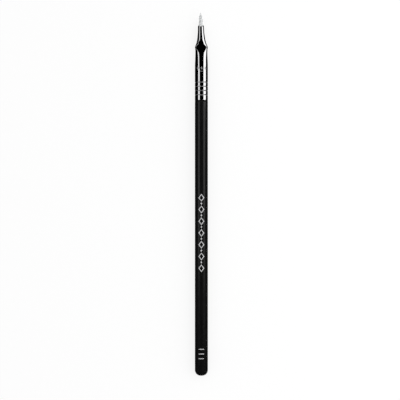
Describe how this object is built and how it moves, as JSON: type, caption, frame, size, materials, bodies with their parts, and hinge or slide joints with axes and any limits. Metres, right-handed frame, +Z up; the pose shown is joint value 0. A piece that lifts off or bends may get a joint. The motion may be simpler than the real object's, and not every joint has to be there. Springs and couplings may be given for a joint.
{
  "type": "eyeliner brush",
  "caption": "Slim make-up brush with a black lacquered round handle, a bright ferrule pinched at the neck, and a fine pointed tuft of white filaments.",
  "frame": {"origin": "on the surface that the brush lies on, under the middle of its length", "axes": "+Y from the butt of the handle to the tip of the tuft, +Z up from that surface through the front of the handle, which has the foil"},
  "size_m": [0.0064, 0.1784, 0.0064],
  "materials": {
    "black_lacquer": "satin",
    "bright_plating": "polished",
    "white_filament": "satin",
    "clear_glue": "gloss",
    "metallic_foil": "satin"
  },
  "bodies": {
    "root": {"handle": "black_lacquer", "ferrule": "bright_plating", "tuft": "white_filament", "glue_plug": "clear_glue", "foil_marks": "metallic_foil"}
  },
  "joints": []
}
